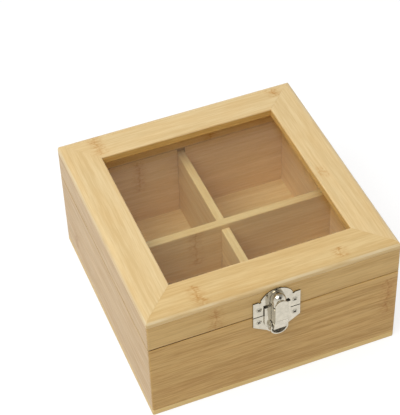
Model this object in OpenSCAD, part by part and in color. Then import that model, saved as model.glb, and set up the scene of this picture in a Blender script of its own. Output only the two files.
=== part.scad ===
// Tea bag organizer box with four compartments: a bamboo base with crossed
// dividers, a hinged bamboo lid with a clear window, and a plated hasp latch.
// The origin is the centre of the underside, and the latch side faces -Y.

/* [Box] */
// Outside width of the wooden box, left to right
box_w = 160; // [130:1:220]
// Outside depth of the wooden box, front to back
box_d = 162; // [130:1:220]
// Height of the base, from the table to its rim
base_h = 58.8; // [48:0.2:90]
// Height of the lid, from the seam to its top
lid_h = 24.8; // [24:0.2:40]
// Gap between the rim and the closed lid
seam_gap = 0.4; // [0.3:0.1:0.8]
// Thickness of the walls of base and lid
wall_t = 8; // [7:0.5:11]
// Thickness of the bottom board
bottom_t = 4.5; // [3:0.5:8]
// Radius of the four upright corners
corner_r = 1.2; // [0.4:0.1:4]
// Radius of the eased edges at the seam and the underside
edge_r = 0.8; // [0.2:0.1:1.5]

/* [Lid frame] */
// Width of each rail of the window frame
rail_w = 22.5; // [18:0.5:32]
// Thickness of the rails
rail_t = 6; // [4.5:0.5:8]
// Radius of the rounded top edge outside
rail_round = 4; // [1:0.5:4]
// Radius of the eased edges round the window
window_round = 1; // [0.2:0.1:1.5]
// Thickness of the clear pane
pane_t = 2; // [1:0.5:4]
// How far the pane reaches under each rail
pane_lap = 8; // [4:0.5:10]

/* [Dividers] */
// Thickness of the two dividers
divider_t = 5.5; // [3:0.5:8]
// How far the left-to-right divider stays below the rim
long_drop = 0.5; // [0.3:0.1:10]
// How far the front-to-back divider stays below the rim
cross_drop = 3.8; // [0.3:0.1:14]
// Depth of the wall grooves that hold the dividers
groove_d = 2.5; // [1:0.5:4]
// Play between a divider and its groove, on each side
groove_play = 0.1; // [0.05:0.05:0.3]
// Radius of the eased top edges of the dividers
divider_round = 0.7; // [0.2:0.1:1.2]

/* [Hinges] */
// Distance from the middle of a hinge to the side of the box
hinge_inset = 35; // [20:1:50]
// Length of a hinge along the seam
hinge_l = 20; // [16:1:30]
// Height of one leaf from the seam
leaf_h = 12; // [10:0.5:16]
// Thickness of the leaves
leaf_t = 0.9; // [0.6:0.1:1.2]
// Outside radius of the hinge barrel
barrel_r = 1.7; // [1.5:0.1:2.2]
// Radius of the hinge pin
hinge_pin_r = 0.8; // [0.6:0.05:1]
// Distance between the two screws of a leaf
leaf_screw_gap = 12; // [9:0.5:16]

/* [Latch] */
// Width of the two plates of the latch
latch_w = 30; // [26:0.5:40]
// Thickness of the plates
plate_t = 0.8; // [0.6:0.1:1.2]
// Height of the catch plate's side tabs over the seam
tab_h = 12; // [10:0.5:14]
// Radius of the catch plate's arched top
arch_r = 11; // [9:0.5:12]
// Height of the arch's centre over the seam
arch_y = 8.4; // [7:0.1:9]
// Depth of the latch plate's side tabs under the seam
wing_h = 8; // [7:0.5:12]
// Radius of the rounded lower end
lobe_r = 7.5; // [7:0.1:8]
// Depth of that lower end's centre under the seam
lobe_y = 9.4; // [9:0.1:10]
// Outside radius of the cup that the lower end is drawn up to
cup_r = 5.7; // [5.6:0.1:6]
// How far the cup's lip stands off the wood
cup_h = 4.8; // [4.6:0.1:5.2]
// Width of the raised step behind the hasp
step_w = 16.4; // [13:0.2:18]
// Height of the step's top over the seam
step_top = 7; // [4:0.5:7]
// How far the step stands off the wood
step_h = 2; // [1.6:0.1:2.4]
// Outside width of the hasp
hasp_w = 8.3; // [7:0.1:10]
// How far the hasp stands off the wood
hasp_h = 8.2; // [7.8:0.1:9.5]
// Thickness of the hasp's sheet
hasp_t = 0.7; // [0.5:0.1:0.8]
// Height of the hasp's rounded tip over the seam
hasp_top = 15.9; // [14:0.1:17]
// Radius of that rounded tip
tip_r = 4.4; // [4.2:0.1:6]
// Depth of the hasp's pivot under the seam
pivot_y = 8.3; // [7.5:0.1:9.5]
// Distance from the wood to the pivot
pivot_h = 3.4; // [3.2:0.1:3.8]
// Radius of the hasp's pivot pin
latch_pin_r = 0.6; // [0.4:0.05:0.8]
// Half the width of the hooded nose on the catch plate
nose_r = 4.4; // [4:0.1:4.7]
// Height over the seam at which the nose's rounded top begins
nose_y = 13.1; // [12:0.1:14]
// How far the screws sit from the middle of the latch
latch_screw_x = 11.4; // [10.6:0.1:12.5]
// Height of the catch plate's screws over the seam
catch_screw_y = 5.9; // [4:0.1:8]
// Depth of the latch plate's screws under the seam
latch_screw_y = 4.7; // [3.5:0.1:5]

/* [Screws] */
// Radius of the screw heads
head_r = 1.9; // [1.5:0.1:2.2]
// Radius of the screw shanks
shank_r = 0.9; // [0.6:0.05:1.1]
// Length of the screws under their heads
screw_l = 5.5; // [4:0.5:6]

/* [Hidden] */

bamboo_light = [0.89, 0.78, 0.58];
bamboo = [0.75, 0.61, 0.40];
clear_pane = [0.80, 0.84, 0.86, 0.35];
nickel = [0.80, 0.77, 0.72];
screw_nickel = [0.72, 0.70, 0.66];

$fn = 64;
// Overshoot of a cut past the face that it opens
cut = 1;
// Running clearance of a pin in its hole, on the radius
pin_play = 0.05;
// Clearance of a screw in its hole, on the radius
screw_play = 0.05;
// Air between pieces that move past each other
move_gap = 0.3;

total_h = base_h + seam_gap + lid_h;
lid_z = base_h + seam_gap;
seam_z = base_h + seam_gap / 2;
frame_z = total_h - rail_t;
inside_w = box_w - 2 * wall_t;
inside_d = box_d - 2 * wall_t;
window_w = box_w - 2 * rail_w;
window_d = box_d - 2 * rail_w;

// Sides of the box, counted anticlockwise from the front seen from above
FRONT = 0;
RIGHT = 1;
BACK = 2;
LEFT = 3;

function side_length(side) = side % 2 == 0 ? box_w : box_d;
function side_reach(side) = (side % 2 == 0 ? box_d : box_w) / 2;

// Cutter that rounds a convex corner of radius r at the origin, whose
// material lies towards +x and +y
module corner_cutter(r) {
    difference() {
        translate([-cut, -cut]) square(r + cut);
        translate([r, r]) circle(r);
    }
}

// Cross-section of a bar: x runs inwards from the outer face, y upwards
module bar_section(t, h, out_low = 0, out_high = 0, in_low = 0, in_high = 0) {
    difference() {
        square([t, h]);
        if (out_low > 0) corner_cutter(out_low);
        if (out_high > 0) translate([0, h]) mirror([0, 1]) corner_cutter(out_high);
        if (in_low > 0) translate([t, 0]) mirror([1, 0]) corner_cutter(in_low);
        if (in_high > 0) translate([t, h]) rotate(180) corner_cutter(in_high);
    }
}

// Region of one side between its two mitres, for a bar of width t
module mitre_region(side, t) {
    half = side_length(side) / 2;
    reach = side_reach(side);
    polygon([
        [-half - cut, -reach - cut], [half + cut, -reach - cut],
        [half - t - cut, -reach + t + cut], [-half + t + cut, -reach + t + cut]
    ]);
}

// Cutter for the upright corner at the right end of one side
module upright_corner(side) {
    translate([side_length(side) / 2, -side_reach(side)])
        mirror([1, 0]) corner_cutter(corner_r);
}

// A mitred bar on one side, its section given as a child
module mitred_bar(side, t, z, h) {
    rotate([0, 0, 90 * side]) difference() {
        intersection() {
            translate([0, -side_reach(side), z]) rotate([90, 0, 90])
                linear_extrude(side_length(side) + 2 * cut, center = true) children();
            translate([0, 0, z - cut]) linear_extrude(h + 2 * cut) mitre_region(side, t);
        }
        for (flip = [0, 1]) mirror([flip, 0, 0])
            translate([0, 0, z - 2 * cut]) linear_extrude(h + 4 * cut) upright_corner(side);
    }
}

// Frame on the front face at the seam: x across, y up, z out of the wood
module on_front() {
    translate([0, -box_d / 2, seam_z]) rotate([90, 0, 0]) children();
}

// The same frame on the back, at the middle of one hinge
module on_back(hand) {
    translate([hand * (box_w / 2 - hinge_inset), box_d / 2, seam_z])
        rotate([90, 0, 180]) children();
}

// How far the leaf screws sit past the middle of their leaf, away from the barrel
leaf_screw_drop = 0.5;

// Where the screws sit, in those frames
module at_leaf_screws(up) {
    for (x = [-1, 1]) translate([x * leaf_screw_gap / 2, up * leaf_screw_y, 0]) children();
}
module at_catch_screws() {
    for (x = [-1, 1]) translate([x * latch_screw_x, catch_screw_y, 0]) children();
}
module at_latch_screws() {
    for (x = [-1, 1]) translate([x * latch_screw_x, -latch_screw_y, 0]) children();
}
leaf_screw_y = (leaf_h + barrel_r) / 2 + leaf_screw_drop;

// Screw with a countersunk oval head in a plate of thickness t
oval_h = 0.4;
recess_l = 2.2;
recess_w = 0.45;
recess_d = 0.6;
module screw(t) {
    oval_r = (head_r * head_r + oval_h * oval_h) / (2 * oval_h);
    difference() {
        union() {
            translate([0, 0, -screw_l]) cylinder(h = screw_l + t / 2, r = shank_r);
            cylinder(h = t, r1 = shank_r, r2 = head_r);
            intersection() {
                translate([0, 0, t]) cylinder(h = oval_h + cut, r = head_r);
                translate([0, 0, t + oval_h - oval_r]) sphere(oval_r);
            }
        }
        for (turn = [45, 135]) rotate(turn)
            translate([-recess_l / 2, -recess_w / 2, t + oval_h - recess_d])
                cube([recess_l, recess_w, recess_d + cut]);
    }
}

// Hole for that screw in its plate, and its pilot hole in the wood
module screw_sink(t) {
    translate([0, 0, -cut]) cylinder(h = t + 2 * cut, r = shank_r + screw_play);
    cylinder(h = t, r1 = shank_r + screw_play, r2 = head_r + screw_play);
    translate([0, 0, t]) cylinder(h = cut, r = head_r + screw_play);
}
module pilot_hole() {
    translate([0, 0, -screw_l - move_gap])
        cylinder(h = screw_l + move_gap + cut, r = shank_r + screw_play);
}

// Base: bottom board, four mitred walls and the crossed dividers
module bottom_board() {
    color(bamboo_light) difference() {
        intersection() {
            rotate([90, 0, 90]) linear_extrude(box_w, center = true) difference() {
                translate([-box_d / 2, 0]) square([box_d, bottom_t]);
                for (flip = [0, 1]) mirror([flip, 0]) translate([-box_d / 2, 0]) corner_cutter(edge_r);
            }
            rotate([90, 0, 0]) linear_extrude(box_d + cut, center = true) difference() {
                translate([-box_w / 2, 0]) square([box_w, bottom_t + cut]);
                for (flip = [0, 1]) mirror([flip, 0]) translate([-box_w / 2, 0]) corner_cutter(edge_r);
            }
        }
        for (side = [FRONT, RIGHT, BACK, LEFT]) rotate([0, 0, 90 * side])
            translate([0, 0, -cut]) linear_extrude(bottom_t + 2 * cut) upright_corner(side);
    }
}

module base_wall(side) {
    color(bamboo) mitred_bar(side, wall_t, bottom_t, base_h - bottom_t)
        bar_section(wall_t, base_h - bottom_t, out_high = edge_r);
}

// Groove for a divider's end in the middle of one wall, open at the rim
module divider_groove(side) {
    groove_w = divider_t + 2 * groove_play;
    rotate([0, 0, 90 * side])
        translate([-groove_w / 2, -side_reach(side) + wall_t - groove_d, bottom_t - cut])
            cube([groove_w, groove_d + cut, base_h - bottom_t + 2 * cut]);
}

module front_wall() {
    difference() {
        base_wall(FRONT);
        divider_groove(FRONT);
        on_front() at_latch_screws() pilot_hole();
    }
}

module back_wall() {
    difference() {
        base_wall(BACK);
        divider_groove(BACK);
        for (hand = [-1, 1]) on_back(hand) at_leaf_screws(-1) pilot_hole();
    }
}

module left_wall() {
    difference() {
        base_wall(LEFT);
        divider_groove(LEFT);
    }
}

module right_wall() {
    difference() {
        base_wall(RIGHT);
        divider_groove(RIGHT);
    }
}

long_h = base_h - long_drop - bottom_t;
cross_h = base_h - cross_drop - bottom_t;
lap_z = bottom_t + cross_h / 2;

// A divider standing on the bottom board along x, with eased top edges
module divider_board(inside, h) {
    length = inside + 2 * (groove_d - groove_play);
    translate([0, 0, bottom_t]) rotate([90, 0, 90])
        linear_extrude(length, center = true)
            translate([-divider_t / 2, 0])
                bar_section(divider_t, h, out_high = divider_round, in_high = divider_round);
}

// Half of the cross lap: an upright slot at the middle of a divider
module lap_slot(z_low, z_high) {
    slot_w = divider_t + 2 * groove_play;
    translate([-slot_w / 2, -divider_t / 2 - cut, z_low])
        cube([slot_w, divider_t + 2 * cut, z_high - z_low]);
}

module long_divider() {
    color(bamboo_light) difference() {
        divider_board(inside_w, long_h);
        lap_slot(bottom_t - cut, lap_z + groove_play);
    }
}

module cross_divider() {
    color(bamboo_light) rotate([0, 0, 90]) difference() {
        divider_board(inside_d, cross_h);
        lap_slot(lap_z, base_h);
    }
}

// Lid: four mitred sides, the mitred window frame and the pane under it
module lid_side(side) {
    color(bamboo) mitred_bar(side, wall_t, lid_z, frame_z - lid_z)
        bar_section(wall_t, frame_z - lid_z, out_low = edge_r);
}

module lid_rail(side) {
    color(bamboo_light) mitred_bar(side, rail_w, frame_z, rail_t)
        bar_section(rail_w, rail_t, out_high = rail_round,
            in_low = window_round, in_high = window_round);
}

module lid_side_front() {
    difference() {
        lid_side(FRONT);
        on_front() at_catch_screws() pilot_hole();
    }
}

module lid_side_back() {
    difference() {
        lid_side(BACK);
        for (hand = [-1, 1]) on_back(hand) at_leaf_screws(1) pilot_hole();
    }
}

module window_pane() {
    pane_w = window_w + 2 * pane_lap;
    pane_d = window_d + 2 * pane_lap;
    color(clear_pane) translate([-pane_w / 2, -pane_d / 2, frame_z - pane_t])
        cube([pane_w, pane_d, pane_t]);
}

// Hinges: the axis lies just outside the back, level with the seam
axis_h = barrel_r + move_gap;
knuckle_l = (hinge_l - 2 * move_gap) / 3;
knuckle_step = knuckle_l + move_gap;
pin_head_h = 0.6;
pin_head_r = 1.3;

// Knuckle and the web that joins it to its leaf, at x along the barrel
module knuckle(x, up) {
    translate([x, 0, axis_h]) rotate([0, 90, 0])
        cylinder(h = knuckle_l, r = barrel_r, center = true);
    translate([x - knuckle_l / 2, up > 0 ? seam_gap / 2 : -leaf_h / 2, 0])
        cube([knuckle_l, leaf_h / 2 - seam_gap / 2, leaf_t]);
}

// One leaf: up is 1 on the lid and -1 on the base; xs places its knuckles
module hinge_leaf(up, xs) {
    leaf_low = barrel_r + 2 * move_gap;
    color(nickel) difference() {
        union() {
            translate([-hinge_l / 2, up > 0 ? leaf_low : -leaf_h, 0])
                cube([hinge_l, leaf_h - leaf_low, leaf_t]);
            for (x = xs) knuckle(x, up);
        }
        translate([0, 0, axis_h]) rotate([0, 90, 0])
            cylinder(h = hinge_l + 2 * cut, r = hinge_pin_r + pin_play, center = true);
        at_leaf_screws(up) screw_sink(leaf_t);
    }
}

module hinge_base_leaf(hand) {
    on_back(hand) hinge_leaf(-1, [-knuckle_step, knuckle_step]);
}

module hinge_lid_leaf(hand) {
    on_back(hand) hinge_leaf(1, [0]);
}

module hinge_pin(hand) {
    color(screw_nickel) on_back(hand) translate([0, 0, axis_h]) rotate([0, 90, 0]) {
        cylinder(h = hinge_l, r = hinge_pin_r, center = true);
        for (flip = [0, 1]) mirror([0, 0, flip])
            translate([0, 0, hinge_l / 2]) cylinder(h = pin_head_h, r = pin_head_r);
    }
}

module hinge_screws(up) {
    color(screw_nickel) for (hand = [-1, 1]) on_back(hand) at_leaf_screws(up) screw(leaf_t);
}

// Catch plate on the lid: arched top, two tabs and the domed nose, with a
// narrower neck under it that stands between the hasp's cheeks
nose_top = hasp_h - hasp_t - move_gap;
nose_h = 3.9;
nose_low = nose_y - nose_h;
dome_r = 4.5;
neck_gap = 1.6;
neck_w = hasp_w - 2 * hasp_t - 2 * neck_gap;
neck_low = step_top + move_gap;
neck_h = 2.6;
neck_t = 3.2;
notch_r = 0.8;
cheek_top = nose_low - 2 * move_gap;

module catch_outline() {
    difference() {
        union() {
            translate([-latch_w / 2, move_gap]) square([latch_w, tab_h - move_gap]);
            intersection() {
                translate([0, arch_y]) circle(arch_r);
                translate([-arch_r, arch_y]) square(2 * arch_r);
            }
        }
        for (side = [-1, 1]) translate([side * (arch_r - notch_r / 2), tab_h]) circle(notch_r);
        translate([-step_w / 2 - move_gap, -cut])
            square([step_w + 2 * move_gap, step_top + move_gap + cut]);
    }
}

// Hood with upright sides, a round top and a crown that is round across
module nose() {
    intersection() {
        translate([0, 0, plate_t / 2]) linear_extrude(nose_top) {
            translate([0, nose_y]) circle(nose_r);
            translate([-nose_r, nose_low]) square([2 * nose_r, nose_h]);
        }
        union() {
            translate([0, nose_y, nose_top - dome_r]) sphere(dome_r);
            translate([0, nose_y, nose_top - dome_r]) rotate([90, 0, 0])
                cylinder(h = nose_h + cut, r = dome_r);
        }
    }
    translate([-neck_w / 2, neck_low, neck_h]) cube([neck_w, nose_y - neck_low, neck_t]);
}

module catch_plate() {
    color(nickel) on_front() {
        difference() {
            linear_extrude(plate_t) catch_outline();
            at_catch_screws() screw_sink(plate_t);
        }
        nose();
    }
}

module catch_screws() {
    color(screw_nickel) on_front() at_catch_screws() screw(plate_t);
}

// Latch plate on the base: two tabs, a pressed step that reaches over the
// seam, and a lower end drawn up to a round cup whose sides hold the pivot pin
curl_r = 2.6;
opening_h = curl_r + move_gap;
flare_turn = 35;
cup_slope = 2.2;
bore_rim = 0.6;
step_shoulder = 7.2;
step_low = 11.5;
step_foot_w = 11;

// Outline of the plate: both tabs, whose lower edges slant in to the round end
module latch_outline() {
    translate([-latch_w / 2, -wing_h]) square([latch_w, wing_h - move_gap]);
    flare_x = lobe_r * cos(flare_turn);
    flare_y = -lobe_y - lobe_r * sin(flare_turn);
    polygon([
        [-latch_w / 2, -wing_h], [latch_w / 2, -wing_h],
        [flare_x, flare_y], [-flare_x, flare_y]
    ]);
    translate([0, -lobe_y]) circle(lobe_r);
}

// Half section of the cup, x out from its middle: a wall that leaves the plate
// in a fillet
module cup_section() {
    fillet = lobe_r - cup_r;
    difference() {
        square([lobe_r, cup_h + cut]);
        translate([lobe_r, plate_t + fillet]) circle(fillet);
        translate([cup_r, plate_t + fillet]) square([lobe_r, cup_h]);
    }
}

// The cup, sloping down to the step above the pivot
module cup() {
    intersection() {
        translate([0, -lobe_y, 0]) rotate_extrude() cup_section();
        crest = -pivot_y + latch_pin_r + bore_rim;
        rotate([90, 0, 90]) linear_extrude(2 * lobe_r, center = true) polygon([
            [-2 * lobe_y, 0], [crest + cup_slope, 0], [crest + cup_slope, step_h],
            [crest, cup_h], [-2 * lobe_y, cup_h]
        ]);
    }
}

// The inside of the cup, below its middle, down to its floor
module cup_hollow() {
    intersection() {
        translate([0, -lobe_y, plate_t]) cylinder(h = cup_h, r = cup_r - plate_t);
        translate([-lobe_r, -lobe_y - lobe_r, 0]) cube([2 * lobe_r, lobe_r, 2 * cup_h]);
    }
}

// Room for the hasp: through the plate at its curl, and over the step above it
module hasp_room() {
    room_w = hasp_w + 2 * move_gap;
    translate([-room_w / 2, -pivot_y - opening_h, -cut])
        cube([room_w, 2 * opening_h, cup_h + 2 * cut]);
    translate([-room_w / 2, -pivot_y, step_h]) cube([room_w, pivot_y, cup_h]);
}

// Outline of the pressed step, drawn in from its edge by inset
module step_outline(inset) {
    half = step_w / 2 - inset;
    foot = step_foot_w / 2 - inset;
    polygon([
        [-half, step_top - inset], [-half, -step_shoulder], [-foot, -step_low + inset],
        [foot, -step_low + inset], [half, -step_shoulder], [half, step_top - inset]
    ]);
}

module step_block() {
    difference() {
        linear_extrude(step_h) step_outline(0);
        translate([-step_w / 2 - cut, -move_gap, -cut])
            cube([step_w + 2 * cut, step_top + move_gap + cut, move_gap + cut]);
    }
}

module latch_plate() {
    color(nickel) on_front() difference() {
        union() {
            linear_extrude(plate_t) latch_outline();
            step_block();
            cup();
        }
        translate([0, 0, -cut]) linear_extrude(step_h - plate_t + cut) step_outline(plate_t);
        cup_hollow();
        hasp_room();
        at_latch_screws() screw_sink(plate_t);
        pivot_bore();
    }
}

module pivot_bore() {
    translate([0, -pivot_y, pivot_h]) rotate([0, 90, 0])
        cylinder(h = 2 * lobe_r, r = latch_pin_r + pin_play, center = true);
}

module latch_screws() {
    color(screw_nickel) on_front() at_latch_screws() screw(plate_t);
}

module latch_pin() {
    color(screw_nickel) on_front() translate([0, -pivot_y, pivot_h]) rotate([0, 90, 0])
        cylinder(h = 2 * cup_r, r = latch_pin_r, center = true);
}

// Hasp: a folded channel with a rounded tongue in front of the nose. Its
// side view is drawn round the pivot, x up the wall and y out of it, and
// its lower end is a curl of sheet round the pivot
curl_end = 165;
bend_x = pivot_y;
tip_x = pivot_y + hasp_top;
cheek_x = pivot_y + cheek_top;
cheek_back = step_h + move_gap - pivot_h;
face_y = hasp_h - pivot_h;

function polar(r, a) = [r * cos(a), r * sin(a)];

// Side view of a curl of radius r and a face at y, filled down to the
// pivot and running up to x. The slanted part leaves the curl all but at a
// tangent: its line crosses the curl a hair inside, and ends there.
tangent_bite = 0.03;
module hasp_side(r, y, x) {
    inner = r - tangent_bite;
    tangent = atan2(y, bend_x) + acos(inner / norm([bend_x, y]));
    circle(r);
    polygon([
        [0, 0], [0, cheek_back], [x, cheek_back],
        [x, y], [bend_x, y], polar(inner, tangent)
    ]);
}

// Turns a side view into a slab of thickness t across the latch
module from_side(t) {
    translate([0, -pivot_y, pivot_h]) rotate([90, 0, 90])
        linear_extrude(t, center = true) children();
}

// Score across the front where the sheet is bent
score_w = 0.6;
score_d = 0.2;

module latch_hasp() {
    color(nickel) on_front() difference() {
        intersection() {
            from_side(hasp_w) {
                hasp_side(curl_r, face_y, cheek_x);
                translate([bend_x, face_y - hasp_t]) square([hasp_top, hasp_t]);
            }
            linear_extrude(hasp_h + cut) {
                translate([0, hasp_top - tip_r]) circle(tip_r);
                translate([-hasp_w, -hasp_top - tip_r]) square([2 * hasp_w, 2 * hasp_top]);
            }
        }
        from_side(hasp_w - 2 * hasp_t) {
            hasp_side(curl_r - hasp_t, face_y - hasp_t, cheek_x + cut);
            rotate(curl_end) square(2 * curl_r);
            translate([-curl_r, -2 * curl_r]) square([2 * tip_x, 2 * curl_r + cheek_back + cut / 2]);
        }
        translate([-hasp_w / 2 - cut, -score_w / 2, hasp_h - score_d])
            cube([hasp_w + 2 * cut, score_w, cut]);
        pivot_bore();
    }
}

bottom_board();
front_wall();
back_wall();
left_wall();
right_wall();
long_divider();
cross_divider();
lid_rail(FRONT);  // lid_rail_front
lid_rail(BACK);  // lid_rail_back
lid_rail(LEFT);  // lid_rail_left
lid_rail(RIGHT);  // lid_rail_right
lid_side_front();
lid_side_back();
lid_side(LEFT);  // lid_side_left
lid_side(RIGHT);  // lid_side_right
window_pane();
hinge_base_leaf(-1);  // hinge_base_leaf_left
hinge_base_leaf(1);  // hinge_base_leaf_right
hinge_lid_leaf(-1);  // hinge_lid_leaf_left
hinge_lid_leaf(1);  // hinge_lid_leaf_right
hinge_pin(-1);  // hinge_pin_left
hinge_pin(1);  // hinge_pin_right
hinge_screws(-1);  // hinge_base_screws
hinge_screws(1);  // hinge_lid_screws
catch_plate();
catch_screws();
latch_plate();
latch_screws();
latch_pin();
latch_hasp();
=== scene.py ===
"""Looks of a bamboo tea bag box: strip-laminated bamboo under satin lacquer, a clear
window and a nickel-plated hasp latch, on a pale studio floor."""

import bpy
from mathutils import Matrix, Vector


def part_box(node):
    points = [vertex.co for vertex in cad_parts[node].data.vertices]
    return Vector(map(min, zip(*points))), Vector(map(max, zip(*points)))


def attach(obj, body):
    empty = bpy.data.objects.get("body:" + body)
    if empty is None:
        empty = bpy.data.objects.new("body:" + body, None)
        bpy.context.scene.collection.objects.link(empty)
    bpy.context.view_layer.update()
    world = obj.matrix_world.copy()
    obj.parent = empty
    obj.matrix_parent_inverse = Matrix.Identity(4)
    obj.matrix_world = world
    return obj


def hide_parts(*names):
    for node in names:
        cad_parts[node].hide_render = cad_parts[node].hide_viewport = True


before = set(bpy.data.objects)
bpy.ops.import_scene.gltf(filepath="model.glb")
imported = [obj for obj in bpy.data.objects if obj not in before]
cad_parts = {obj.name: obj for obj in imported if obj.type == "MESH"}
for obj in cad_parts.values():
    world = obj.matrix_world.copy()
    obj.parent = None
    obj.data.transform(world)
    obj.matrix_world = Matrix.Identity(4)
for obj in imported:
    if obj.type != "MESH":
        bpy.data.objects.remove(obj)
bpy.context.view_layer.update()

import math

import bmesh
import bpy
from bpy.props import FloatProperty, FloatVectorProperty, IntProperty, PointerProperty
from mathutils import Matrix, Vector

bl_info = {
    "name": "Bamboo tea bag box",
    "version": (1, 0, 0),
    "blender": (4, 5, 0),
    "location": "3D View > Sidebar > Tea box",
    "description": "Finishes the bamboo box, its window, hinges and latch, and lights it",
    "category": "Object",
}

MM = 0.001

# The wood in plan, which the hinges and the latch stand proud of, and the closed seam
wood_low, wood_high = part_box("bottom_board")
half_width, half_depth = ((wood_high[axis] - wood_low[axis]) / 2 for axis in (0, 1))
floor_top = wood_high[2]
seam_height = (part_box("front_wall")[1][2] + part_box("lid_side_front")[0][2]) / 2


def paint(red, green, blue):
    """Linear colour of a screen colour given from 0 to 255, by the sRGB curve."""
    return tuple(
        value / 12.92 if value <= 0.04045 else ((value + 0.055) / 1.055) ** 2.4
        for value in (red / 255, green / 255, blue / 255)
    )


def colour_property(name, description, screen_colour):
    """A colour that a user can change, given as a screen colour."""
    return FloatVectorProperty(
        name=name, description=description, subtype="COLOR", size=3, min=0, max=1,
        default=paint(*screen_colour),
    )


def length_property(name, description, millimetres):
    """A length that a user can change, given in millimetres."""
    return FloatProperty(
        name=name, description=description, unit="LENGTH", min=0, default=millimetres * MM,
    )


class BambooLook(bpy.types.PropertyGroup):
    """Colours and grain of the bamboo."""

    rail_pale: colour_property("Rail pale", "Pale fibres of the window frame", (228, 202, 152))
    rail_deep: colour_property("Rail deep", "Deeper fibres of the window frame", (214, 184, 130))
    front_rail_pale: colour_property("Front rail pale", "Pale fibres of the front rail", (221, 192, 137))
    front_rail_deep: colour_property("Front rail deep", "Deeper fibres of the front rail", (205, 172, 114))
    reveal_pale: colour_property("Reveal pale", "Pale fibres round the window", (212, 172, 100))
    reveal_deep: colour_property("Reveal deep", "Deeper fibres round the window", (190, 146, 74))
    # The fronts' colours, here and below, are darker and more saturated than the sides': partly the
    # bamboo's own tone, partly painted shade of the front faces.
    lid_front_pale: colour_property("Lid front pale", "Pale fibres of the lid's front", (210, 175, 112))
    lid_front_deep: colour_property("Lid front deep", "Deeper fibres of the lid's front", (188, 151, 88))
    front_pale: colour_property("Front pale", "Pale fibres of the base's front", (206, 168, 103))
    front_deep: colour_property("Front deep", "Deeper fibres of the base's front", (176, 135, 70))
    # The sides' colours are paler and less saturated than the fronts': partly the bamboo's own tone,
    # partly a painted sheen of the white surroundings.
    side_pale: colour_property("Side pale", "Pale fibres of the other sides", (211, 181, 132))
    side_deep: colour_property("Side deep", "Deeper fibres of the other sides", (192, 156, 102))
    # The inner faces', the bottom's and the dividers' colours are paler than the outer sides': partly the
    # bamboo's own tone, partly painted light that makes up for the light the lid and walls keep out.
    inside_pale: colour_property("Inside pale", "Pale fibres of the inner faces", (246, 216, 163))
    inside_deep: colour_property("Inside deep", "Deeper fibres of the inner faces", (232, 197, 139))
    board_pale: colour_property("Board pale", "Pale fibres of bottom and dividers", (246, 218, 158))
    board_deep: colour_property("Board deep", "Deeper fibres of bottom and dividers", (232, 198, 134))
    edge_pale: colour_property("Board edge pale", "Pale fibres of the bottom's edges", (226, 198, 134))
    edge_deep: colour_property("Board edge deep", "Deeper fibres of the bottom's edges", (213, 180, 112))
    mark_tint: colour_property("Node marks", "Tint of the dashes at a cane's nodes", (222, 190, 142))
    # Painted highlight where the frame's rounding faces half up
    painted_rounding_sheen: colour_property("Rounding sheen", "Painted highlight where the frame is rounded", (232, 216, 178))
    # Painted shade in the mouth of the closed seam
    painted_seam_shade: colour_property("Seam shade", "Painted shade in the mouth of the seam", (92, 56, 6))
    strip_width: length_property("Strip width", "Width of one laminated strip", 7.5)
    fibre_gap: length_property("Fibre gap", "Distance between the fine fibres", 1.25)
    edge_ease: length_property("Eased edges", "Width of the sanded edges", 0.35)
    mitre_ease: FloatProperty(
        name="Mitre edges", description="Share of that width left along the glued mitres",
        default=0.3, min=0, max=1, subtype="FACTOR",
    )


class LatchLook(bpy.types.PropertyGroup):
    """Colours of the plated fittings and sizes of their screws."""

    nickel: colour_property("Nickel", "Colour of the plated sheet", (210, 203, 186))
    screw_nickel: colour_property("Screws", "Colour of screws and pins", (190, 184, 168))
    # The sheared edges' own dullness, and painted shade and dark reflection on faces turned away from the
    # front
    cut_edge_and_shade: colour_property("Cut edges and shade", "Colour of the sheet's sheared edges and painted shade", (84, 74, 54))
    # Dirt and painted shade in the crevices, most next to the wood
    dirt_and_shade: colour_property("Dirt and shade", "Colour of the dirt and painted shade in the crevices", (62, 50, 34))
    crevice: length_property("Crevice", "How far the dirt and painted shade reach out of a crevice", 1.0)
    hollow: length_property("Hollow", "Width of a hollow in which the plating is dull", 4)
    sheet_ease: length_property("Sheet edges", "Width of the rounded sheet edges", 0.22)
    head_radius: length_property("Head radius", "Radius of a screw head", 1.9)
    oval_height: length_property("Oval height", "Height of a head's crown", 0.4)
    sink: length_property("Countersink", "Depth of a head in its plate", 0.8)
    shank_radius: length_property("Shank radius", "Radius of a screw's shank", 0.9)
    shank_length: length_property("Shank length", "Length of a screw under its head", 5.4)
    slot_length: length_property("Slot length", "Length of a cross slot", 2.5)
    slot_width: length_property("Slot width", "Width of a cross slot", 0.7)
    slot_depth: length_property("Slot depth", "Depth of a cross slot", 0.7)
    turn_seed: IntProperty(name="Turn seed", description="How the screws ended up turned", default=5)


class StudioSetup(bpy.types.PropertyGroup):
    """Camera and light."""

    azimuth: FloatProperty(
        name="Azimuth", description="Camera's bearing, from the front towards the right",
        subtype="ANGLE", default=math.radians(-20.10),
    )
    elevation: FloatProperty(
        name="Elevation", description="Camera's height angle",
        subtype="ANGLE", default=math.radians(44.37),
    )
    roll: FloatProperty(
        name="Roll", description="Camera's turn about its own axis",
        subtype="ANGLE", default=math.radians(-2.36),
    )
    distance: length_property("Distance", "From the camera to what it looks at", 983)
    target: FloatVectorProperty(
        name="Target", description="Point that the camera looks at",
        subtype="XYZ", unit="LENGTH", default=(0.43 * MM, 42.5 * MM, 32 * MM),
    )
    lens: FloatProperty(
        name="Lens", description="Focal length in millimetres on a 36 mm sensor",
        unit="CAMERA", default=130.9, min=20,
    )
    sky_strength: FloatProperty(
        name="Sky", description="Brightness of the soft light from all round", default=0.54, min=0,
    )
    key_power: FloatProperty(
        name="Key lamp", description="Power of the large soft lamp", unit="POWER", default=21.5, min=0,
    )


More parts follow.
